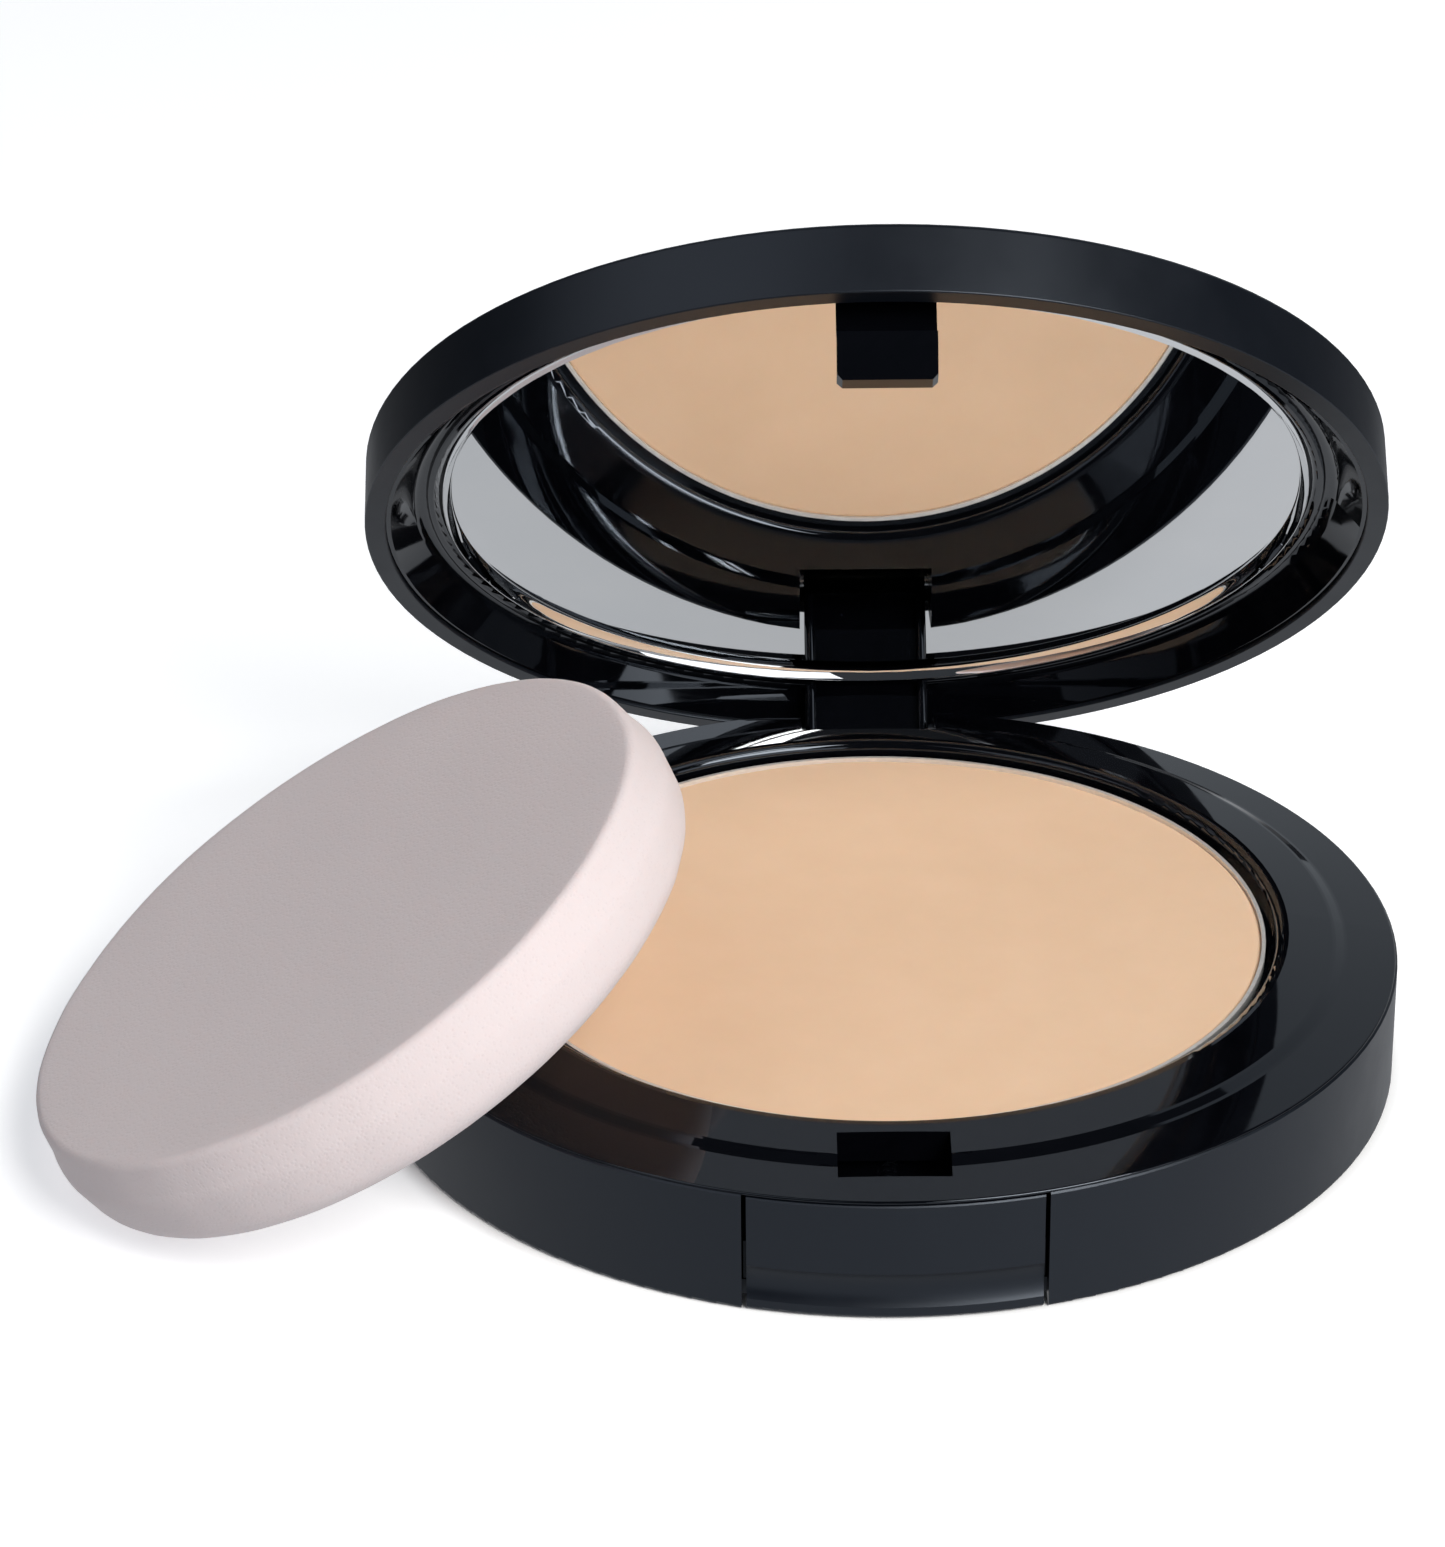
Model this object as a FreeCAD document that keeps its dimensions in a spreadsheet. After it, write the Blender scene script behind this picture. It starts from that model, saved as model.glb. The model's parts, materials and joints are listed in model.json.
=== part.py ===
import FreeCAD, Part
import math
import os
import Sketcher

# A round push-button powder compact, drawn in millimetres.
# Origin: centre of the base's underside. +Z up, -Y towards the push button, +Y towards the hinge.
# The lid's pieces are drawn shut and then swung open about the hinge axis by their Placement.

SIZES = {
    # base shell and push button
    "case_radius": 40.0, "case_wall": 1.3, "case_floor": 1.2, "seam_height": 9.55,
    "boss_ring": 22.0, "boss_radius": 2.2, "label_offset": 15.0, "label_radius": 10.0,
    "button_half": 10.69, "button_gap": 0.35, "button_stroke": 0.6, "button_margin": 0.12,
    "scoop_depth": 0.45, "scoop_half": 1.4, "scoop_height": 2.4,
    "leg_inside": 7.2, "leg_outside": 8.5, "leg_end": 33.6, "barb_outside": 9.8, "barb_front": 35.05,
    "stop_front": 36.2, "stop_back": 35.3, "stop_inside": 8.9, "stop_outside": 10.9,
    "spring_height": 3.1, "spring_radius": 1.2, "wire_radius": 0.18, "spring_back": 33.3,
    "seat_radius": 0.7,
    # tray
    "tray_radius": 39.84, "edge_height": 9.72, "step_outer": 36.0, "step_low": 10.33,
    "step_inner": 35.1, "step_high": 10.73, "crown_radius": 31.6, "crown_height": 11.28,
    "lip_radius": 30.6, "ledge_height": 9.9, "well_radius": 30.0, "well_floor": 5.2,
    "plate": 1.2, "flange_under": 8.7, "slot_half": 4.1, "slot_outer": 37.0, "slot_inner": 32.4,
    # pan and powder
    "pan_radius": 29.85, "pan_wall": 0.3, "pan_base": 5.35, "pan_top": 10.35, "powder_top": 10.1,
    # hinge
    "hinge_back": 36.6, "hinge_height": 3.7, "pin_radius": 0.8, "pin_half": 8.9, "running": 0.05,
    "lug_half": 5.2, "lug_front": 35.0, "lug_back": 37.9, "notch_half": 5.6, "notch_front": 33.9,
    "ear_outer": 9.5, "ear_front": 34.6, "ear_top": 5.9, "knuckle_radius": 1.75,
    # lid
    "lid_radius": 40.15, "lid_wall": 1.65, "rim_height": 10.2, "lid_top": 15.85, "lid_plate": 1.2,
    "mirror_radius": 34.07, "mirror_face": 13.7, "mirror_thickness": 0.8, "bevel_width": 1.3,
    "bevel_depth": 0.28, "frame_bead": 36.1, "frame_step": 35.4, "frame_inner": 34.35,
    "tab_half": 3.65, "tab_back": 35.0, "tab_front": 36.2, "tab_nose": 37.35, "open_angle": 49.65,
    # sponge
    "sponge_radius": 27.5, "sponge_thickness": 9.3, "sponge_lean": 31.1, "sponge_turn": 184.7,
}

doc = FreeCAD.newDocument("powder_compact")
sheet = doc.addObject("Spreadsheet::Sheet", "sizes")
for row, (alias, value) in enumerate(SIZES.items(), start=1):
    sheet.set(f"A{row}", alias)
    sheet.set(f"B{row}", str(value))
    sheet.setAlias(f"B{row}", alias)
doc.recompute()


class Size:
    """A length with its value and the spreadsheet expression that gives it."""

    def __init__(self, value, text):
        self.value, self.text = value, text

    @staticmethod
    def of(other):
        return other if isinstance(other, Size) else Size(float(other), f"{other:g}")

    def __add__(self, other):
        other = Size.of(other)
        return Size(self.value + other.value, f"({self.text} + {other.text})")

    def __sub__(self, other):
        other = Size.of(other)
        return Size(self.value - other.value, f"({self.text} - {other.text})")

    def __neg__(self):
        return Size(-self.value, f"(-1 * {self.text})")

    def __mul__(self, factor):
        return Size(self.value * factor, f"({self.text} * {factor:g})")


class Sizes:
    """Gives each driving dimension by its name."""

    def __getattr__(self, alias):
        return Size(SIZES[alias], f"sizes.{alias}")


d = Sizes()
# further than any piece reaches, for cuts that run right through
FAR = 50
PLANES = {"top": "XY_Plane", "front": "XZ_Plane", "side": "YZ_Plane"}


def bind(target, path, size):
    """Gives a property its value through an expression."""
    size = Size.of(size)
    target.setExpression(path, size.text)


def new_body(label):
    body = doc.addObject("PartDesign::Body", label)
    body.Label = label
    return body


def new_sketch(body, plane, offset=0.0):
    """A sketch on one of the body's own planes; offset moves it along the plane's normal."""
    sketch = body.newObject("Sketcher::SketchObject", f"{body.Name}_sketch")
    face = next(f for f in body.Origin.OriginFeatures if f.Role == PLANES[plane])
    sketch.AttachmentSupport = [(face, "")]
    sketch.MapMode = "FlatFace"
    bind(sketch, "AttachmentOffset.Base.z", offset)
    return sketch


def fix(sketch, kind, first, second, size):
    """Adds one dimension between two points and binds it."""
    size = Size.of(size)
    index = sketch.addConstraint(Sketcher.Constraint(kind, *first, *second, size.value))
    sketch.setExpression(f"Constraints[{index}]", size.text)


def outline(sketch, corners):
    """A closed polygon whose corners are held to the sketch's origin."""
    corners = [(Size.of(u), Size.of(v)) for u, v in corners]
    points = [FreeCAD.Vector(u.value, v.value, 0) for u, v in corners]
    first = sketch.GeometryCount
    for here, there in zip(points, points[1:] + points[:1]):
        sketch.addGeometry(Part.LineSegment(here, there), False)
    for i in range(len(points)):
        after = first + (i + 1) % len(points)
        sketch.addConstraint(Sketcher.Constraint("Coincident", first + i, 2, after, 1))
    for i, (u, v) in enumerate(corners):
        fix(sketch, "DistanceX", (-1, 1), (first + i, 1), u)
        fix(sketch, "DistanceY", (-1, 1), (first + i, 1), v)


def rectangle(sketch, low_u, low_v, high_u, high_v):
    outline(sketch, [(low_u, low_v), (high_u, low_v), (high_u, high_v), (low_u, high_v)])


def circle(sketch, u, v, radius):
    u, v, radius = Size.of(u), Size.of(v), Size.of(radius)
    centre = FreeCAD.Vector(u.value, v.value, 0)
    sketch.addGeometry(Part.Circle(centre, FreeCAD.Vector(0, 0, 1), radius.value), False)
    edge = sketch.GeometryCount - 1
    index = sketch.addConstraint(Sketcher.Constraint("Radius", edge, radius.value))
    sketch.setExpression(f"Constraints[{index}]", radius.text)
    fix(sketch, "DistanceX", (-1, 1), (edge, 3), u)
    fix(sketch, "DistanceY", (-1, 1), (edge, 3), v)


def feature(body, kind, sketch, **settings):
    """Adds a PartDesign feature made from a sketch and reports nothing changed as an error."""
    before = body.Shape.Volume if body.Tip else 0.0
    item = body.newObject(f"PartDesign::{kind}", f"{body.Name}_{kind.lower()}")
    item.Profile = sketch
    for name, value in settings.items():
        if isinstance(value, Size):
            bind(item, name, value)
        else:
            setattr(item, name, value)
    doc.recompute()
    if abs(body.Shape.Volume - before) < 1e-4:
        raise RuntimeError(f"{item.Name} changed nothing")
    return item


def turn(body, corners, kind="Revolution"):
    """Revolves a profile of (radius, height) corners about the upright axis."""
    sketch = new_sketch(body, "front")
    outline(sketch, corners)
    return feature(body, kind, sketch, ReferenceAxis=(sketch, ["V_Axis"]), Angle=360.0)


def block(body, kind, low, high):
    """Adds (Pad) or cuts (Pocket) a box between two corners given in x, y and z."""
    low, high = [Size.of(s) for s in low], [Size.of(s) for s in high]
    sketch = new_sketch(body, "top", low[2])
    rectangle(sketch, low[0], low[1], high[0], high[1])
    return feature(body, kind, sketch, Length=high[2] - low[2], Reversed=kind == "Pocket")


def rod(body, kind, plane, centre, radius, start, end):
    """Adds or cuts a round rod along the normal of a plane, from start to end along that axis."""
    start, end = Size.of(start), Size.of(end)
    # the front plane's normal points along -Y, so its distances run the other way
    offset = -end if plane == "front" else start
    sketch = new_sketch(body, plane, offset)
    circle(sketch, centre[0], centre[1], radius)
    return feature(body, kind, sketch, Length=end - start, Reversed=kind == "Pocket")


def near(edge, radius=None, height=None, tolerance=0.02):
    """True for a circular edge about the upright axis with the given radius and height."""
    if not isinstance(edge.Curve, Part.Circle) or abs(edge.Curve.Axis.z) < 0.999:
        return False
    centre = edge.Curve.Center
    if math.hypot(centre.x, centre.y) > tolerance:
        return False
    return abs(edge.Curve.Radius - radius) < tolerance and abs(centre.z - height) < tolerance


def soften(body, wanted, size, kind="Fillet"):
    """Rounds or chamfers each edge that the test picks."""
    names = [f"Edge{i}" for i, edge in enumerate(body.Shape.Edges, start=1) if wanted(edge)]
    if not names:
        raise RuntimeError(f"{body.Name}: no edge to soften")
    tip = body.Tip
    item = body.newObject(f"PartDesign::{kind}", f"{body.Name}_{kind.lower()}")
    item.Base = (tip, names)
    bind(item, "Radius" if kind == "Fillet" else "Size", size)
    doc.recompute()
    return item


def rounded_ring(body, radius, height, size, kind="Fillet"):
    radius, height = Size.of(radius), Size.of(height)
    return soften(body, lambda edge: near(edge, radius.value, height.value), size, kind)


def span(side, inside, outside):
    """The low and high x of something that lies between two distances on one side."""
    return (Size.of(inside), Size.of(outside)) if side > 0 else (-Size.of(outside), -Size.of(inside))


def base_shell():
    """The satin outer dish: floor, wall, hinge ears, button stops and spring post."""
    body = new_body("base_shell")
    inner = d.case_radius - d.case_wall
    # what stands on the floor starts a little inside it
    sunk = d.case_floor - 0.2
    turn(body, [
        (0, 0), (d.case_radius, 0), (d.case_radius, d.seam_height), (inner, d.seam_height),
        (inner, d.case_floor), (0, d.case_floor),
    ])
    rounded_ring(body, d.case_radius, 0, 0.35)
    rounded_ring(body, d.case_radius, d.seam_height, 0.12, "Chamfer")
    # six upright pads carry the tray's floor
    pads = new_sketch(body, "top", d.case_floor)
    circle(pads, d.boss_ring, 0, d.boss_radius)
    feature(body, "Pad", pads, Length=d.well_floor - d.plate - d.case_floor)
    repeat_around(body, 6)
    # hinge ears with open-topped saddles that the pin snaps into
    saddle_mouth = d.pin_radius - 0.1
    for side in (-1, 1):
        low, high = span(side, d.notch_half + 0.3, d.ear_outer)
        block(body, "Pad", (low, d.ear_front, sunk), (high, inner - 0.2, d.ear_top))
        low, high = span(side, d.notch_half - 0.2, d.pin_half + 0.1)
        axis = (d.hinge_back, d.hinge_height)
        rod(body, "Pocket", "side", axis, d.pin_radius + d.running, low, high)
        block(body, "Pocket", (low, d.hinge_back - saddle_mouth, d.hinge_height),
              (high, d.hinge_back + saddle_mouth, d.ear_top + 0.3))
    # room for the lid's lug; the wall left standing behind it stops the lid when it is open
    block(body, "Pocket", (-d.notch_half, d.notch_front, d.case_floor), (d.notch_half, inner, FAR))
    block(body, "Pocket", (-d.notch_half, d.notch_front, d.hinge_height), (d.notch_half, FAR, FAR))
    # the front is open for the push button, and the floor is cut back to let it travel
    opening = d.button_half + d.button_gap
    block(body, "Pocket", (-opening, -FAR, -1), (opening, -(d.stop_front + 0.1), FAR))
    # stops that hold the button's barbed legs, and the post behind its spring
    for side in (-1, 1):
        low, high = span(side, d.stop_inside, d.stop_outside)
        block(body, "Pad", (low, -d.stop_front, sunk), (high, -d.stop_back, 4.4))
    post_half, post_depth, post_top = 2.2, 1.0, 4.6
    block(body, "Pad", (-post_half, -d.spring_back, sunk), (post_half, -d.spring_back + post_depth, post_top))
    seat = (0, d.spring_height)
    rod(body, "Pad", "front", seat, d.seat_radius, -d.spring_back - 0.9, -d.spring_back + 0.2)
    # shallow recess for the label
    label = new_sketch(body, "top", 0)
    circle(label, 0, d.label_offset, d.label_radius + 0.3)
    feature(body, "Pocket", label, Length=0.25, Reversed=True)
    relieve_hinge_edge(body)
    return body


def repeat_around(body, count):
    """Repeats the last feature around the upright axis."""
    original = body.Tip
    pattern = body.newObject("PartDesign::PolarPattern", f"{body.Name}_pattern")
    pattern.Originals = [original]
    axis = next(f for f in body.Origin.OriginFeatures if f.Role == "Z_Axis")
    pattern.Axis = (axis, [""])
    pattern.Angle = 360
    pattern.Occurrences = count
    body.Tip = pattern
    doc.recompute()


def relieve_hinge_edge(body):
    """Rounds the rear top edge about the hinge axis so that the lid's rim passes over it."""
    sketch = new_sketch(body, "top", d.hinge_height)
    reach = d.hinge_back + d.rim_height - d.hinge_height - 0.25
    half = 20
    rectangle(sketch, -half, reach, half, reach + 4)
    ends = [FreeCAD.Vector(x, d.hinge_back.value, 0) for x in (-half, half)]
    sketch.addGeometry(Part.LineSegment(*ends), True)
    axis = sketch.GeometryCount - 1
    for end, x in ((1, -half), (2, half)):
        fix(sketch, "DistanceX", (-1, 1), (axis, end), x)
        fix(sketch, "DistanceY", (-1, 1), (axis, end), d.hinge_back)
    feature(body, "Groove", sketch, ReferenceAxis=(sketch, ["Axis0"]), Angle=80.0)


def tray():
    """The glossy tray: a well for the pan inside a flange that rises in two slopes to a lip."""
    body = new_body("tray")
    outer_well = d.lip_radius + 0.8
    spigot = d.case_radius - d.case_wall - 0.1
    turn(body, [
        (0, d.well_floor - d.plate), (outer_well, d.well_floor - d.plate), (outer_well, d.flange_under),
        (spigot, d.flange_under), (spigot, d.seam_height), (d.tray_radius, d.seam_height),
        (d.tray_radius, d.edge_height), (d.step_outer, d.step_low), (d.step_inner, d.step_high),
        (d.crown_radius, d.crown_height), (d.lip_radius, d.crown_height),
        (d.lip_radius, d.ledge_height), (d.well_radius, d.ledge_height),
        (d.well_radius, d.well_floor), (0, d.well_floor),
    ])
    rounded_ring(body, d.lip_radius, d.crown_height, 0.7)
    rounded_ring(body, d.step_inner, d.step_high, 1.0)
    rounded_ring(body, d.step_outer, d.step_low, 1.0)
    rounded_ring(body, d.tray_radius, d.edge_height, 0.15)
    # slot for the lid's latch tab
    below = d.flange_under - 1
    block(body, "Pocket", (-d.slot_half, -d.slot_outer, below), (d.slot_half, -d.slot_inner, FAR))
    # the spigot is cut back behind the push button by its stroke
    relief = new_sketch(body, "side")
    cut_back = spigot - d.button_stroke - 0.1
    rectangle(relief, -(spigot + 0.3), d.flange_under - 0.1, -cut_back, d.seam_height)
    feature(body, "Groove", relief, ReferenceAxis=(relief, ["V_Axis"]), Angle=34.0, Midplane=True)
    # notch for the lid's hinge lug
    block(body, "Pocket", (-d.notch_half, d.notch_front, below), (d.notch_half, FAR, FAR))
    relieve_hinge_edge(body)
    return body


def push_button():
    """The front segment of the wall, with a thumb scoop, barbed guide legs and a spring seat."""
    body = new_body("push_button")
    inner = d.case_radius - d.case_wall
    foot, top = d.button_margin, d.seam_height - d.button_margin
    turn(body, [(inner, foot), (d.case_radius, foot), (d.case_radius, top), (inner, top)])
    rounded_ring(body, d.case_radius, foot, 0.3)
    rounded_ring(body, d.case_radius, top, 0.1, "Chamfer")
    # the scoop is a shallow round channel run along the wall
    radius = SIZES["scoop_half"] ** 2 / (2 * SIZES["scoop_depth"]) + SIZES["scoop_depth"] / 2
    channel = new_sketch(body, "front")
    circle(channel, d.case_radius + radius - d.scoop_depth, d.scoop_height, radius)
    feature(body, "Groove", channel, ReferenceAxis=(channel, ["V_Axis"]), Angle=360.0)
    # only the front segment of the ring is kept
    block(body, "Pocket", (-FAR, -30, -1), (FAR, FAR, FAR))
    for side in (-1, 1):
        low, high = span(side, d.button_half, FAR)
        block(body, "Pocket", (low, -FAR, -1), (high, FAR, FAR))
    # a rib that the latch nose bears on, and the spring's seat, both rooted in the wall
    root = -(inner - 0.45)
    rib_half, rib_foot, rib_top = 3.0, 5.2, 8.0
    block(body, "Pad", (-rib_half, root - 0.8, rib_foot), (rib_half, root, rib_top))
    seat_end = root + 0.35
    rod(body, "Pad", "front", (0, d.spring_height), d.seat_radius, root - 0.65, seat_end)
    # each leg slides on the floor; its barb is held by a stop
    leg_foot, leg_top, leg_root = d.case_floor + 0.3, 4.0, root - 0.15
    for side in (-1, 1):
        low, high = span(side, d.leg_inside, d.leg_outside)
        block(body, "Pad", (low, leg_root, leg_foot), (high, -d.leg_end, leg_top))
        low, high = span(side, d.leg_outside - 0.1, d.barb_outside)
        block(body, "Pad", (low, -d.barb_front, leg_foot), (high, -d.leg_end, leg_top))
    return body


def button_spring():
    """A small coil spring between the button and the post behind it."""
    coil = doc.addObject("Part::Helix", "spring_path")
    length = d.case_radius - d.case_wall - d.spring_back - d.wire_radius * 4
    bind(coil, "Radius", d.spring_radius)
    bind(coil, "Height", length)
    bind(coil, "Pitch", length * (1 / 6))
    wire = doc.addObject("Part::Circle", "spring_wire")
    bind(wire, "Radius", d.wire_radius)
    wire.Placement = FreeCAD.Placement(
        FreeCAD.Vector(d.spring_radius.value, 0, 0), FreeCAD.Rotation(FreeCAD.Vector(1, 0, 0), 90)
    )
    spring = doc.addObject("Part::Sweep", "button_spring")
    spring.Sections = [wire]
    spring.Spine = (coil, [])
    spring.Solid = True
    spring.Frenet = True
    start = FreeCAD.Vector(0, -(d.spring_back + d.wire_radius * 2).value, d.spring_height.value)
    spring.Placement = FreeCAD.Placement(start, FreeCAD.Rotation(FreeCAD.Vector(1, 0, 0), 90))
    spring.Label = "button_spring"
    doc.recompute()
    return spring


def hinge_pin():
    """The steel pin that lies in the base's saddles, for the lid's lug to turn on."""
    body = new_body("hinge_pin")
    rod(body, "Pad", "side", (d.hinge_back, d.hinge_height), d.pin_radius, -d.pin_half, d.pin_half)
    return body


def powder_pan():
    """The round aluminium pan, a standard 59 mm refill size."""
    body = new_body("powder_pan")
    inner = d.pan_radius - d.pan_wall
    turn(body, [
        (0, d.pan_base), (d.pan_radius, d.pan_base), (d.pan_radius, d.pan_top), (inner, d.pan_top),
        (inner, d.pan_base + d.pan_wall), (0, d.pan_base + d.pan_wall),
    ])
    rounded_ring(body, d.pan_radius, d.pan_base, 0.2)
    return body


def powder_cake():
    """Pressed powder with a faintly dished face."""
    body = new_body("powder_cake")
    edge, floor = d.pan_radius - d.pan_wall, d.pan_base + d.pan_wall
    turn(body, [(0, floor), (edge, floor), (edge, d.powder_top), (0, d.powder_top)])
    rounded_ring(body, edge, d.powder_top, 0.25)
    dish_depth, flat_edge = 0.25, 1.35
    radius = SIZES["pan_radius"] ** 2 / (2 * dish_depth)
    reach = math.asin((SIZES["pan_radius"] - flat_edge) / radius)
    dish = new_sketch(body, "front")
    centre = FreeCAD.Vector(0, SIZES["powder_top"] - dish_depth + radius, 0)
    face = Part.Circle(centre, FreeCAD.Vector(0, 0, 1), radius)
    down = 1.5 * math.pi
    dish.addGeometry(Part.ArcOfCircle(face, down, down + reach), False)
    low, high = dish.getPoint(0, 1), dish.getPoint(0, 2)
    level = FreeCAD.Vector(0, high.y, 0)
    dish.addGeometry(Part.LineSegment(high, level), False)
    dish.addGeometry(Part.LineSegment(level, low), False)
    feature(body, "Groove", dish, ReferenceAxis=(dish, ["V_Axis"]), Angle=360.0)
    return body


def disc(label, centre, radius, low, high):
    """A plain round layer, such as glue or a label."""
    layer = doc.addObject("Part::Cylinder", label)
    layer.Label = label
    bind(layer, "Radius", radius)
    bind(layer, "Height", Size.of(high) - Size.of(low))
    foot = FreeCAD.Vector(*centre, Size.of(low).value)
    layer.Placement = FreeCAD.Placement(foot, FreeCAD.Rotation())
    return layer


def lid_shell():
    """The satin lid: a flat top and a straight skirt."""
    body = new_body("lid_shell")
    inner = d.lid_radius - d.lid_wall
    turn(body, [
        (0, d.lid_top - d.lid_plate), (inner, d.lid_top - d.lid_plate), (inner, d.rim_height),
        (d.lid_radius, d.rim_height), (d.lid_radius, d.lid_top), (0, d.lid_top),
    ])
    rounded_ring(body, d.lid_radius, d.lid_top, 0.4)
    rounded_ring(body, d.lid_radius, d.rim_height, 0.12)
    rounded_ring(body, inner, d.rim_height, 0.12)
    return body


def mirror_frame():
    """The glossy ring round the mirror, with the latch tab at the front and the hinge lug behind."""
    body = new_body("mirror_frame")
    under_plate = d.lid_top - d.lid_plate
    outer = d.lid_radius - d.lid_wall - 0.03
    edge = d.rim_height + 0.3
    bead_height, step_height, edge_width = 13.2, 12.85, 0.35
    turn(body, [
        (outer, under_plate), (outer, edge), (outer - edge_width, edge),
        (d.frame_bead, bead_height), (d.frame_step, bead_height), (d.frame_step, step_height),
        (d.frame_inner, step_height), (d.frame_inner, under_plate),
    ])
    rounded_ring(body, d.frame_bead, bead_height, 1.1)
    rounded_ring(body, d.frame_step, step_height, 0.3)
    rounded_ring(body, d.frame_inner, step_height, 0.45)
    # hinge lug: a ribbed post with a round knuckle
    axis, root = (d.hinge_back, d.hinge_height), 13.9
    block(body, "Pad", (-d.lug_half, d.lug_front, d.hinge_height), (d.lug_half, d.lug_back, root))
    rod(body, "Pad", "side", axis, d.knuckle_radius, -d.lug_half, d.lug_half)
    panel_half, panel_foot, panel_top, panel_depth = 4.3, 5.9, 13.1, 0.5
    block(body, "Pocket", (-panel_half, d.lug_front - 0.5, panel_foot),
          (panel_half, d.lug_front + panel_depth, panel_top))
    rod(body, "Pocket", "side", axis, d.pin_radius + d.running, -d.pin_half, d.pin_half)
    # latch tab with an outward nose
    tab_root, nose_top, nose_foot, tab_foot = 13.6, 8.5, 7.4, 5.1
    tab = new_sketch(body, "side", -d.tab_half)
    outline(tab, [
        (-d.tab_back, tab_root), (-d.tab_front, tab_root), (-d.tab_front, nose_top),
        (-d.tab_nose, nose_top), (-d.tab_nose, nose_foot), (-(d.tab_front + 0.1), tab_foot),
        (-d.tab_back, tab_foot),
    ])
    feature(body, "Pad", tab, Length=d.tab_half * 2)
    soften(body, is_tab_corner, 0.4, "Chamfer")
    return body


def is_tab_corner(edge):
    """The tab's two lower corners run along Y at its tip."""
    box = edge.BoundBox
    return box.ZMax < 5.2 and box.YMax < -34.9 and box.YLength > 1.0 and box.XLength < 0.01


def mirror_glass():
    """The round mirror with a ground bevel."""
    body = new_body("mirror_glass")
    back = d.mirror_face + d.mirror_thickness
    turn(body, [
        (0, d.mirror_face), (d.mirror_radius - d.bevel_width, d.mirror_face),
        (d.mirror_radius, d.mirror_face + d.bevel_depth), (d.mirror_radius, back), (0, back),
    ])
    return body


def sponge():
    """A plain closed foam disc; it leans on the base's rim and stands on the table."""
    body = new_body("sponge_disc")
    face, bulge_height = d.sponge_radius - 0.6, 4.5
    turn(body, [
        (0, 0), (face, 0), (d.sponge_radius, bulge_height), (face, d.sponge_thickness),
        (0, d.sponge_thickness),
    ])
    rounded_ring(body, face, 0, 3.2)
    rounded_ring(body, face, d.sponge_thickness, 0.5)
    lean = FreeCAD.Rotation(FreeCAD.Vector(0, 1, 0), SIZES["sponge_lean"])
    turned = FreeCAD.Rotation(FreeCAD.Vector(0, 0, 1), SIZES["sponge_turn"])
    underside = FreeCAD.Vector(-36.9, -12.9, 11.36)
    body.Placement = FreeCAD.Placement(underside, turned.multiply(lean))
    # the table presses the low edge flat
    flat = 0.05
    table = doc.addObject("Part::Box", "table_space")
    table.Length, table.Width, table.Height = 100, 100, 20
    table.Placement.Base = FreeCAD.Vector(-110, -60, flat - 20)
    cut = doc.addObject("Part::Cut", "sponge")
    cut.Base, cut.Tool = body, table
    cut.Label = "sponge"
    return cut


label_centre = (0, SIZES["label_offset"])
base_parts = [
    base_shell(), tray(), push_button(), button_spring(), hinge_pin(), powder_pan(), powder_cake(),
    disc("pan_adhesive", (0, 0), 24, d.well_floor, d.pan_base),
    disc("base_label", label_centre, d.label_radius, 0.12, 0.25),
    sponge(),
]
mirror_back, under_plate = d.mirror_face + d.mirror_thickness, d.lid_top - d.lid_plate
lid_parts = [
    lid_shell(), mirror_frame(), mirror_glass(),
    disc("mirror_adhesive", (0, 0), 30, mirror_back, under_plate),
]
hinge = FreeCAD.Vector(0, d.hinge_back.value, d.hinge_height.value)
opening = FreeCAD.Rotation(FreeCAD.Vector(1, 0, 0), -SIZES["open_angle"])
for piece in lid_parts:
    piece.Placement = FreeCAD.Placement(FreeCAD.Vector(), opening, hinge).multiply(piece.Placement)
doc.recompute()

for item in doc.Objects:
    if {"Invalid", "Error"} & set(item.State):
        raise RuntimeError(f"{item.Name} failed: {item.State}")
os.makedirs("parts", exist_ok=True)
for piece in base_parts + lid_parts:
    shape = piece.Shape
    if shape.isNull() or not shape.isValid():
        raise RuntimeError(f"{piece.Label} has no valid shape")
    shape.exportStep(f"parts/{piece.Label}.step")
    print(f"{piece.Label:18s} {len(shape.Solids)} solid(s) {shape.Volume:9.1f} mm3")
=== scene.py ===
import json
import math

import bmesh
import bpy
import numpy as np
from mathutils import Matrix, Vector, noise

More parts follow.
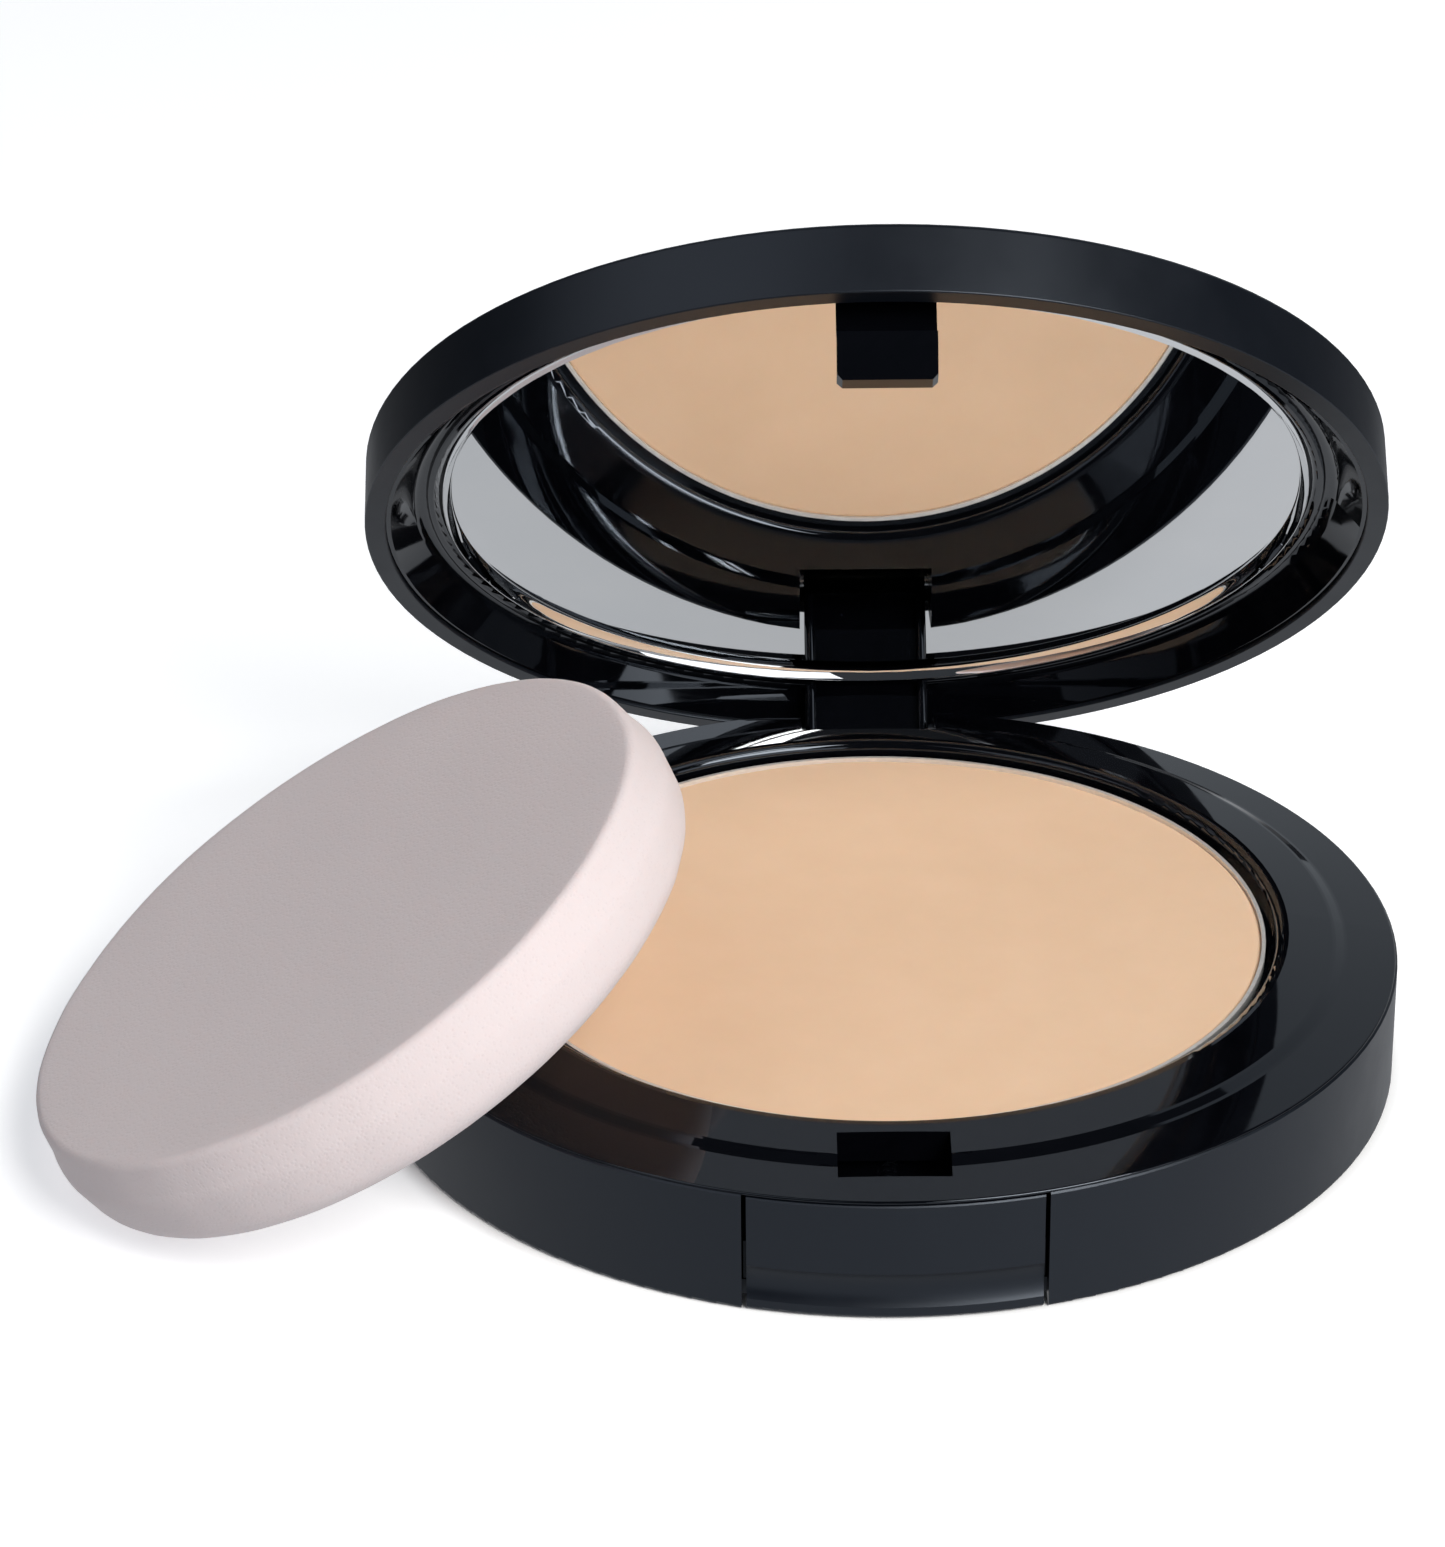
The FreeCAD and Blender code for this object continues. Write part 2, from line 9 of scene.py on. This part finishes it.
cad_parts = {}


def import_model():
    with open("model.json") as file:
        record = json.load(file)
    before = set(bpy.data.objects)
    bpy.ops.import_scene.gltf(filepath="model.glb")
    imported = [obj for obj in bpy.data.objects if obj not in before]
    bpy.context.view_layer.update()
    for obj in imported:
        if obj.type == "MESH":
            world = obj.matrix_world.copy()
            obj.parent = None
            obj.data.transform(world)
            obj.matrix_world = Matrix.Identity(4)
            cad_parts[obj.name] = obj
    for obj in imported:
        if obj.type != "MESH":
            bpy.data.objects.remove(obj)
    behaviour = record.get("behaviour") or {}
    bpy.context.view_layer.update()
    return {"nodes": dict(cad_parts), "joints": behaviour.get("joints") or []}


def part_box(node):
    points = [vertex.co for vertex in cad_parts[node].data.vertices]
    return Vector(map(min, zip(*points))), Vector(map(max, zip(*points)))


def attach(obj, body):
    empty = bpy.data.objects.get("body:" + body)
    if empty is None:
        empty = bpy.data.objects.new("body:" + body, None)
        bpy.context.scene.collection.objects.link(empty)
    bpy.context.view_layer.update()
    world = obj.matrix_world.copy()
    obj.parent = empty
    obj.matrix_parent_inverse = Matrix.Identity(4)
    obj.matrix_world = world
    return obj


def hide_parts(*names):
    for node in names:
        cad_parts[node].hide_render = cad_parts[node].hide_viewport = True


# The looks of a round powder compact, open on a table, with its foam sponge leaning on the rim.
# Everything is in metres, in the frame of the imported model.

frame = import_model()
nodes = frame["nodes"]
scene = bpy.context.scene
MM = 0.001

lid_joint = next(joint for joint in frame["joints"] if joint["name"] == "lid_swing")
HINGE = Vector(lid_joint["pos_m"])
OPEN_ANGLE = -math.radians(lid_joint["range_deg"][0])
# takes a point of the shut lid to where it is at rest, which is open
OPENING = (
    Matrix.Translation(HINGE) @ Matrix.Rotation(-OPEN_ANGLE, 4, "X") @ Matrix.Translation(-HINGE)
)


# ---------------------------------------------------------------- materials

class Shader:
    """A node material with short helpers for the textures that its surface needs."""

    def __init__(self, name, **sockets):
        self.material = bpy.data.materials.new(name)
        self.material.use_nodes = True
        self.tree = self.material.node_tree
        self.surface = self.tree.nodes["Principled BSDF"]
        self.coordinates = self.node("ShaderNodeTexCoord").outputs["Object"]
        for socket, value in sockets.items():
            self.surface.inputs[socket.replace("_", " ")].default_value = value

    def node(self, kind, **settings):
        item = self.tree.nodes.new(kind)
        for name, value in settings.items():
            setattr(item, name, value)
        return item

    def link(self, source, target):
        self.tree.links.new(source, target)

    def noise(self, size, detail=2.0, roughness=0.5, distortion=0.0, stretch=None):
        """Noise whose features are about size metres across; stretch scales it along x, y and z."""
        texture = self.node("ShaderNodeTexNoise")
        texture.inputs["Scale"].default_value = 1.0 / size
        texture.inputs["Detail"].default_value = detail
        texture.inputs["Roughness"].default_value = roughness
        texture.inputs["Distortion"].default_value = distortion
        source = self.coordinates
        if stretch:
            mapping = self.node("ShaderNodeMapping")
            mapping.inputs["Scale"].default_value = stretch
            self.link(source, mapping.inputs["Vector"])
            source = mapping.outputs["Vector"]
        self.link(source, texture.inputs["Vector"])
        return texture.outputs["Fac"]

    def cells(self, size):
        """Cells about size metres across; gives the distance to the nearest cell's middle."""
        texture = self.node("ShaderNodeTexVoronoi")
        texture.inputs["Scale"].default_value = 1.0 / size
        self.link(self.coordinates, texture.inputs["Vector"])
        return texture.outputs["Distance"]

    def span(self, value, low, high, to_low=0.0, to_high=1.0):
        """Maps low..high of a value to to_low..to_high."""
        item = self.node("ShaderNodeMapRange")
        limits = {"From Min": low, "From Max": high, "To Min": to_low, "To Max": to_high}
        for name, number in limits.items():
            item.inputs[name].default_value = number
        self.link(value, item.inputs["Value"])
        return item.outputs["Result"]

    def ramp(self, value, stops):
        """Colours between two or more stops, each (place from 0 to 1, colour)."""
        item = self.node("ShaderNodeValToRGB")
        ramp = item.color_ramp
        for index, (place, colour) in enumerate(stops):
            stop = ramp.elements[index] if index < 2 else ramp.elements.new(place)
            stop.position = place
            stop.color = (*colour, 1.0)
        self.link(value, item.inputs["Fac"])
        return item.outputs["Color"]

    def math(self, operation, first, second):
        item = self.node("ShaderNodeMath", operation=operation)
        for socket, value in zip(item.inputs, (first, second)):
            if isinstance(value, (int, float)):
                socket.default_value = value
            else:
                self.link(value, socket)
        return item.outputs["Value"]

    def colour(self, source):
        self.link(source, self.surface.inputs["Base Color"])

    def rough(self, source):
        self.link(source, self.surface.inputs["Roughness"])

    def translucent(self, weight, depths):
        """Lets light into the surface, to these depths in metres for red, green and blue."""
        self.surface.inputs["Subsurface Weight"].default_value = weight
        self.surface.inputs["Subsurface Radius"].default_value = depths
        self.surface.inputs["Subsurface Scale"].default_value = 1.0

    def bumps(self, *layers):
        """Stacks bump layers, each (height, depth in metres, strength)."""
        normal = None
        for height, depth, strength in layers:
            bump = self.node("ShaderNodeBump")
            bump.inputs["Distance"].default_value = depth
            bump.inputs["Strength"].default_value = strength
            self.link(height, bump.inputs["Height"])
            if normal:
                self.link(normal, bump.inputs["Normal"])
            normal = bump.outputs["Normal"]
        self.link(normal, self.surface.inputs["Normal"])


# both black plastics throw back a slightly blue light
BLUE_SHEEN = (0.78, 0.87, 1.0, 1.0)


def satin_black():
    """Moulded plastic with a fine spark-eroded texture and faintly rubbed patches."""
    shader = Shader("satin_black", IOR=1.5, Specular_Tint=BLUE_SHEEN)
    patches = shader.noise(9 * MM, detail=4.0, roughness=0.6)
    shader.colour(shader.ramp(patches, [(0.3, (0.0015, 0.0024, 0.0048)), (0.7, (0.0025, 0.0036, 0.0064))]))
    grain = shader.noise(0.16 * MM, detail=3.0, roughness=0.65)
    shader.rough(shader.span(patches, 0.3, 0.7, 0.34, 0.42))
    shader.bumps((grain, 0.006 * MM, 0.35), (shader.noise(14 * MM), 0.03 * MM, 0.2))
    return shader.material


def gloss_black():
    """Polished black plastic, very slightly wavy, with soft smudges and hairline scuffs."""
    shader = Shader("gloss_black", IOR=1.52, Specular_Tint=BLUE_SHEEN)
    smudges = shader.noise(7 * MM, detail=5.0, roughness=0.65, distortion=0.4)
    shader.colour(shader.ramp(smudges, [(0.35, (0.0010, 0.0012, 0.0020)), (0.75, (0.0020, 0.0022, 0.0034))]))
    shader.rough(shader.span(smudges, 0.5, 0.8, 0.035, 0.11))
    hairlines = shader.noise(0.35 * MM, detail=2.0, stretch=(1.0, 14.0, 1.0))
    shader.bumps((hairlines, 0.001 * MM, 0.08), (shader.noise(12 * MM), 0.02 * MM, 0.25))
    return shader.material


def mirror_silver():
    """The silvered glass's face: clean, with the faintest haze."""
    shader = Shader("mirror_silver", Metallic=1.0)
    haze = shader.noise(11 * MM, detail=4.0)
    shader.colour(shader.ramp(haze, [(0.3, (0.80, 0.815, 0.83)), (0.7, (0.83, 0.84, 0.85))]))
    shader.rough(shader.span(haze, 0.4, 0.8, 0.008, 0.025))
    return shader.material


def pan_metal():
    """Thin pressed aluminium with drawn lines."""
    shader = Shader("pan_metal", Metallic=0.7)
    lines = shader.noise(0.5 * MM, detail=3.0, stretch=(1.0, 1.0, 8.0))
    shader.colour(shader.ramp(lines, [(0.3, (0.80, 0.79, 0.77)), (0.7, (0.90, 0.89, 0.87))]))
    shader.rough(shader.span(lines, 0.3, 0.7, 0.42, 0.55))
    shader.bumps((lines, 0.006 * MM, 0.3))
    return shader.material


def bright_steel():
    shader = Shader("bright_steel", Metallic=1.0)
    lines = shader.noise(0.3 * MM, detail=2.0, stretch=(8.0, 1.0, 1.0))
    shader.colour(shader.ramp(lines, [(0.3, (0.50, 0.50, 0.51)), (0.7, (0.62, 0.62, 0.63))]))
    shader.rough(shader.span(lines, 0.3, 0.7, 0.2, 0.32))
    return shader.material


def powder_face():
    """Pressed powder: fine grain and soft mottling."""
    shader = Shader("powder_face", IOR=1.45, Sheen_Weight=0.15, Specular_IOR_Level=0.25)
    shader.translucent(0.12, (0.9 * MM, 0.45 * MM, 0.25 * MM))
    mottle = shader.noise(6 * MM, detail=6.0, roughness=0.6)
    shader.colour(shader.ramp(mottle, [(0.3, (0.785, 0.535, 0.350)), (0.7, (0.815, 0.562, 0.376))]))
    grain = shader.noise(0.11 * MM, detail=3.0, roughness=0.7)
    shader.rough(shader.span(grain, 0.3, 0.7, 0.78, 0.95))
    shader.bumps((grain, 0.012 * MM, 0.5), (shader.noise(0.8 * MM, detail=3.0), 0.02 * MM, 0.25))
    return shader.material


def glue_film():
    shader = Shader("glue_film", IOR=1.45)
    streaks = shader.noise(2 * MM, detail=3.0)
    shader.colour(shader.ramp(streaks, [(0.3, (0.66, 0.65, 0.60)), (0.7, (0.76, 0.75, 0.71))]))
    shader.rough(shader.span(streaks, 0.3, 0.7, 0.3, 0.5))
    return shader.material


def label_film():
    """The blank label on the underside."""
    shader = Shader("label_film", IOR=1.45)
    fibres = shader.noise(0.4 * MM, detail=4.0)
    shader.colour(shader.ramp(fibres, [(0.3, (0.030, 0.031, 0.036)), (0.7, (0.044, 0.045, 0.050))]))
    shader.rough(shader.span(fibres, 0.3, 0.7, 0.45, 0.6))
    shader.bumps((fibres, 0.004 * MM, 0.4))
    return shader.material


def foam():
    """Fine-pored latex foam."""
    shader = Shader("foam", IOR=1.45, Sheen_Weight=0.1, Specular_IOR_Level=0.2)
    shader.translucent(0.2, (1.2 * MM, 0.8 * MM, 0.7 * MM))
    # the pores are painted darker than the foam around them: painted shade in their hollows; the fine grain
    # and patches vary the tone at random
    pores = shader.span(shader.cells(0.34 * MM), 0.0, 0.5)
    fine = shader.noise(0.22 * MM, detail=4.0, roughness=0.7)
    mottle = shader.noise(4 * MM, detail=5.0)
    patches = shader.span(mottle, 0.2, 0.8, 0.9, 1.05)
    tone_and_pore_shade = shader.math("MULTIPLY", shader.math("ADD", pores, fine), patches)
    shader.colour(shader.ramp(tone_and_pore_shade, [(0.25, (0.645, 0.560, 0.565)), (0.95, (0.715, 0.630, 0.630))]))
    shader.rough(shader.span(fine, 0.3, 0.7, 0.85, 1.0))
    shader.bumps((pores, 0.05 * MM, 0.35), (fine, 0.04 * MM, 0.35))
    return shader.material


def floor_pale():
    """A pale table, near white where it is seen directly; in reflections its colour is painted grey, a
    painted shade, and a painted glow lights it.
    """
    shader = Shader("floor_pale", Roughness=0.75)
    drift = shader.noise(0.4, detail=2.0)
    pale = shader.ramp(drift, [(0.3, (0.93, 0.93, 0.93)), (0.7, (0.96, 0.96, 0.96))])
    # in reflections the table is painted grey: painted shade
    reflected_painted_shade = shader.ramp(drift, [(0.3, (0.085, 0.09, 0.10)), (0.7, (0.10, 0.105, 0.115))])
    direct = shader.node("ShaderNodeLightPath").outputs["Is Camera Ray"]
    choice = shader.node("ShaderNodeMix", data_type="RGBA")
    # the node has sockets of the same name for each type of data, so its colours go by number
    first_colour, second_colour, mixed_colour = 6, 7, 2
    shader.link(direct, choice.inputs["Factor"])
    shader.link(reflected_painted_shade, choice.inputs[first_colour])
    shader.link(pale, choice.inputs[second_colour])
    shader.colour(choice.outputs[mixed_colour])
    # a painted glow keeps the table pale in shade: seen directly, it starts at the case's wall, and in
    # reflections, where it lights the painted grey, it reaches only as far as a hand does
    length = shader.node("ShaderNodeVectorMath", operation="LENGTH")
    shader.link(shader.coordinates, length.inputs[0])
    distance = length.outputs["Value"]
    seen_painted_glow = shader.math("MULTIPLY", direct, shader.span(distance, 39.5 * MM, 41.5 * MM, 0.0, 0.42))
    reflected = shader.math("SUBTRACT", 1.0, direct)
    reflected_painted_glow = shader.math("MULTIPLY", reflected, shader.span(distance, 110 * MM, 190 * MM, 0.49, 0.04))
    painted_glow = shader.math("ADD", seen_painted_glow, reflected_painted_glow)
    shader.surface.inputs["Emission Color"].default_value = (0.95, 0.97, 1.0, 1.0)
    shader.link(painted_glow, shader.surface.inputs["Emission Strength"])
    return shader.material


SATIN, GLOSS = satin_black(), gloss_black()
finishes = {
    "base_shell": SATIN, "lid_shell": SATIN, "push_button": SATIN,
    "tray": GLOSS, "mirror_frame": GLOSS,
    "powder_pan": pan_metal(), "button_spring": bright_steel(), "hinge_pin": bright_steel(),
    "pan_adhesive": glue_film(), "mirror_adhesive": glue_film(), "base_label": label_film(),
}


def paint(piece, material):
    piece.data.materials.clear()
    piece.data.materials.append(material)


for name, finish in finishes.items():
    paint(nodes[name], finish)


# ---------------------------------------------------------------- pieces

def uneven(point, size, depth):
    """Smooth bumps about size metres across, up to about depth metres high or low."""
    return noise.noise(point / size) * depth


def new_piece(name, mesh_data, body, material):
    """Makes a smooth piece that rides on a body and has the given material."""
    mesh = bpy.data.meshes.new(name)
    mesh_data.to_mesh(mesh)
    mesh_data.free()
    piece = bpy.data.objects.new(name, mesh)
    scene.collection.objects.link(piece)
    for polygon in mesh.polygons:
        polygon.use_smooth = True
    paint(piece, material)
    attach(piece, body)
    return piece


def turned(profile, steps):
    """A surface made by turning (radius, height) points about the upright axis.

    It is closed where its first and last points lie on the axis.
    """
    mesh = bmesh.new()
    rings = []
    for radius, height in profile:
        if radius <= 0:
            rings.append([mesh.verts.new((0, 0, height))])
            continue
        angles = (2 * math.pi * step / steps for step in range(steps))
        rings.append([mesh.verts.new((radius * math.cos(a), radius * math.sin(a), height)) for a in angles])
    for low, high in zip(rings, rings[1:]):
        for step in range(steps):
            after = (step + 1) % steps
            if len(low) == 1:
                corners = [low[0], high[after], high[step]]
            elif len(high) == 1:
                corners = [low[step], low[after], high[0]]
            else:
                corners = [low[step], low[after], high[after], high[step]]
            mesh.faces.new(corners)
    bmesh.ops.recalc_face_normals(mesh, faces=mesh.faces)
    return mesh


def arc(centre_r, centre_z, radius, start, end, count):
    """Points on a circular arc in the profile plane; angles in degrees from the +radius direction."""
    angles = np.radians(np.linspace(start, end, count))
    return [(centre_r + radius * math.cos(a), centre_z + radius * math.sin(a)) for a in angles]


def powder():
    """The pressed powder's face, faintly dished, with a finely crumbled edge."""
    low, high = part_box("powder_cake")
    radius = (high.x - low.x) / 2
    dish, edge, crumbled = 0.25 * MM, 0.3 * MM, 0.6 * MM
    reach = radius - edge
    face = [(r, high.z - dish * (1 - (r / reach) ** 2)) for r in np.linspace(0, reach, 70)]
    side = arc(reach, high.z - edge, edge, 90, 0, 6)[1:] + [(radius, low.z), (0, low.z)]
    mesh = turned(face + side, 256)
    for vert in mesh.verts:
        if vert.co.z <= high.z - 2 * edge:
            continue
        grain = uneven(vert.co, 1.1 * MM, 0.012 * MM) + uneven(vert.co, 7 * MM, 0.03 * MM)
        # from 0 where the crumbled edge starts to 1 at the rim
        share = max(0.0, (vert.co.xy.length - reach + crumbled) / (crumbled + edge))
        vert.co.z += grain - abs(uneven(vert.co, 0.5 * MM, 0.02 * MM) * share)
    piece = new_piece("powder_face", mesh, "base", powder_face())
    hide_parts("powder_cake")


def mirror():
    """The silvered glass disc; its polished edge turns steeply up to the frame and ripples a little.

    It is made as it lies in the shut lid, face down, and then opened with the lid.
    """
    low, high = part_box("mirror_glass")
    radius = (high.x - low.x) / 2
    face_z, back_z = 13.7 * MM, 14.5 * MM
    edge_width, bend, flat_margin = 0.75 * MM, 0.25 * MM, 0.05 * MM
    start_tilt, end_tilt = 48, 66
    start_sin, end_sin = (math.sin(math.radians(tilt)) for tilt in (start_tilt, end_tilt))
    start_cos = math.cos(math.radians(start_tilt))
    inner = radius - edge_width
    # a tight bend, and then a wall: an arc between the two tilts that ends at the disc's radius
    wall_start_r, wall_start_z = inner + bend * start_sin, face_z - bend * (1 - start_cos)
    wall_arc = (radius - wall_start_r) / (end_sin - start_sin)
    wall_r, wall_z = wall_start_r - wall_arc * start_sin, wall_start_z - wall_arc * start_cos

    rings = 12
    profile = [(inner * ring / rings, face_z) for ring in range(rings)]
    profile += [(inner - flat_margin, face_z), (inner, face_z)]
    profile += arc(inner, face_z - bend, bend, 90, 90 - start_tilt, 6)[1:]
    profile += arc(wall_r, wall_z, wall_arc, 90 - start_tilt, 90 - end_tilt, 12)[1:]
    profile += [(radius, back_z), (0, back_z)]
    mesh = turned(profile, 360)
    for vert in mesh.verts:
        out = vert.co.xy.length - inner
        if out > 0 and vert.co.z < face_z:
            ripple = uneven(vert.co, 1.6 * MM, 0.03 * MM) + uneven(vert.co, 0.6 * MM, 0.01 * MM)
            vert.co.z += ripple * (out / edge_width) ** 2
    mesh.transform(OPENING)
    piece = new_piece("mirror_glass_disc", mesh, "lid", mirror_silver())
    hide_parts("mirror_glass")


def sponge():
    """The foam disc, leaning on the rim: soft edges, slightly uneven, flattened where it stands."""
    radius, thick = 27.4 * MM, 9.2 * MM
    lean, turn, standing = math.radians(31.1), math.radians(184.7), Vector((-36.9, -12.9, 11.36)) * MM
    under_edge, side_edge, top_edge = 3.3 * MM, 3.15 * MM, 0.8 * MM
    under_reach, top_reach = radius - 3.6 * MM, radius - 1.4 * MM
    profile = [(r, 0.1 * MM) for r in np.linspace(0, under_reach, 40)]
    profile += arc(under_reach, 3.4 * MM, under_edge, -90, -12, 12)[1:]
    profile += arc(radius - side_edge, 5.2 * MM, side_edge, 0, 25, 5)
    profile += arc(top_reach, thick - top_edge, top_edge, 10, 90, 8)
    profile += [(r, thick) for r in np.linspace(top_reach, 0, 40)[1:]]
    mesh = turned(profile, 220)
    for vert in mesh.verts:
        outward = Vector((vert.co.x, vert.co.y, 0)).normalized()
        swell = uneven(vert.co, 13 * MM, 0.18 * MM) + uneven(vert.co, 3 * MM, 0.05 * MM)
        vert.co += outward * swell * min(1.0, vert.co.xy.length / (10 * MM))
        # the offset keeps the face's waves apart from the side's
        vert.co.z += noise.noise(vert.co / (9 * MM) + Vector((5, 3, 1))) * 0.06 * MM
    mesh.transform(
        Matrix.Translation(standing) @ Matrix.Rotation(turn, 4, "Z") @ Matrix.Rotation(lean, 4, "Y")
    )
    table_gap = 0.06 * MM
    for vert in mesh.verts:
        vert.co.z = max(vert.co.z, table_gap)
    piece = new_piece("foam_sponge", mesh, "sponge", foam())
    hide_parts("sponge")


def lug_ribs():
    """Rounded ribs down both sides of the hinge lug's sunk panel, made on the shut lid and opened."""
    out, back, foot, top, radius = 4.72 * MM, 34.98 * MM, 4.6 * MM, 13.4 * MM, 0.42 * MM
    sides, smallest = 20, 0.02
    for direction, name in ((-1, "left"), (1, "right")):
        mesh = bmesh.new()
        rings = []
        for height in np.linspace(foot, top, 12):
            # the rib narrows to a rounded foot
            below_round = max(0.0, (foot + radius - height) / radius)
            thick = radius * math.sqrt(max(smallest, 1 - below_round ** 2))
            angles = (2 * math.pi * side / sides for side in range(sides))
            rings.append([
                mesh.verts.new((direction * out + thick * math.cos(a), back + thick * math.sin(a), height))
                for a in angles
            ])
        for below, above in zip(rings, rings[1:]):
            for side in range(sides):
                after = (side + 1) % sides
                mesh.faces.new((below[side], below[after], above[after], above[side]))
        mesh.faces.new(rings[0])
        mesh.faces.new(rings[-1])
        bmesh.ops.recalc_face_normals(mesh, faces=mesh.faces)
        mesh.transform(OPENING)
        new_piece(f"lug_rib_{name}", mesh, "lid", GLOSS)


powder()
mirror()
sponge()
lug_ribs()


# ---------------------------------------------------------------- stage

def floor():
    half_side, squares = 1.5, 8
    mesh = bmesh.new()
    bmesh.ops.create_grid(mesh, x_segments=squares, y_segments=squares, size=half_side)
    data = bpy.data.meshes.new("floor")
    mesh.to_mesh(data)
    mesh.free()
    plane = bpy.data.objects.new("floor", data)
    scene.collection.objects.link(plane)
    paint(plane, floor_pale())


def area_light(name, place, target, size, power, colour):
    """A soft rectangle of light, turned to its target."""
    data = bpy.data.lights.new(name, "AREA")
    data.shape = "RECTANGLE"
    data.size, data.size_y = size
    data.energy = power
    data.color = colour
    lamp = bpy.data.objects.new(name, data)
    lamp.location = place
    lamp.rotation_euler = (Vector(target) - Vector(place)).to_track_quat("-Z", "Y").to_euler()
    scene.collection.objects.link(lamp)


def world(strength, colour):
    scene.world = bpy.data.worlds.new("studio")
    scene.world.use_nodes = True
    background = scene.world.node_tree.nodes["Background"]
    background.inputs["Color"].default_value = (*colour, 1.0)
    background.inputs["Strength"].default_value = strength


def camera():
    """The photograph's view: nearly from the front, well above the table, with a slight roll."""
    place = (-0.01096, -0.34790, 0.19862)
    turn, downward, roll = (math.radians(angle) for angle in (0.20005, 26.67057, -0.57002))
    data = bpy.data.cameras.new("camera")
    data.lens = 118.2
    data.sensor_width = 36.0
    data.clip_start, data.clip_end = 0.01, 20.0
    view = bpy.data.objects.new("camera", data)
    view.matrix_world = (
        Matrix.Translation(place) @ Matrix.Rotation(turn, 4, "Z")
        @ Matrix.Rotation(math.pi / 2 - downward, 4, "X") @ Matrix.Rotation(roll, 4, "Z")
    )
    scene.collection.objects.link(view)
    scene.camera = view


floor()
world(0.045, (0.80, 0.88, 1.0))
area_light("key", (0.42, -0.54, 0.62), (0, 0, 0.01), (0.5, 0.5), 9.4, (1.0, 0.985, 0.96))
area_light("fill", (-0.6, -0.25, 0.76), (0, 0, 0.01), (1.0, 1.0), 2.7, (0.93, 0.95, 1.0))
area_light("backdrop", (0.30, 1.3, 0.77), (0, 0, 0.2), (2.2, 1.5), 4.2, (0.86, 0.93, 1.0))
area_light("low_right", (0.50, -0.74, 0.17), (0, 0, 0.01), (0.85, 0.32), 1.3, (0.95, 0.97, 1.0))
camera()
scene.view_settings.view_transform = "Standard"
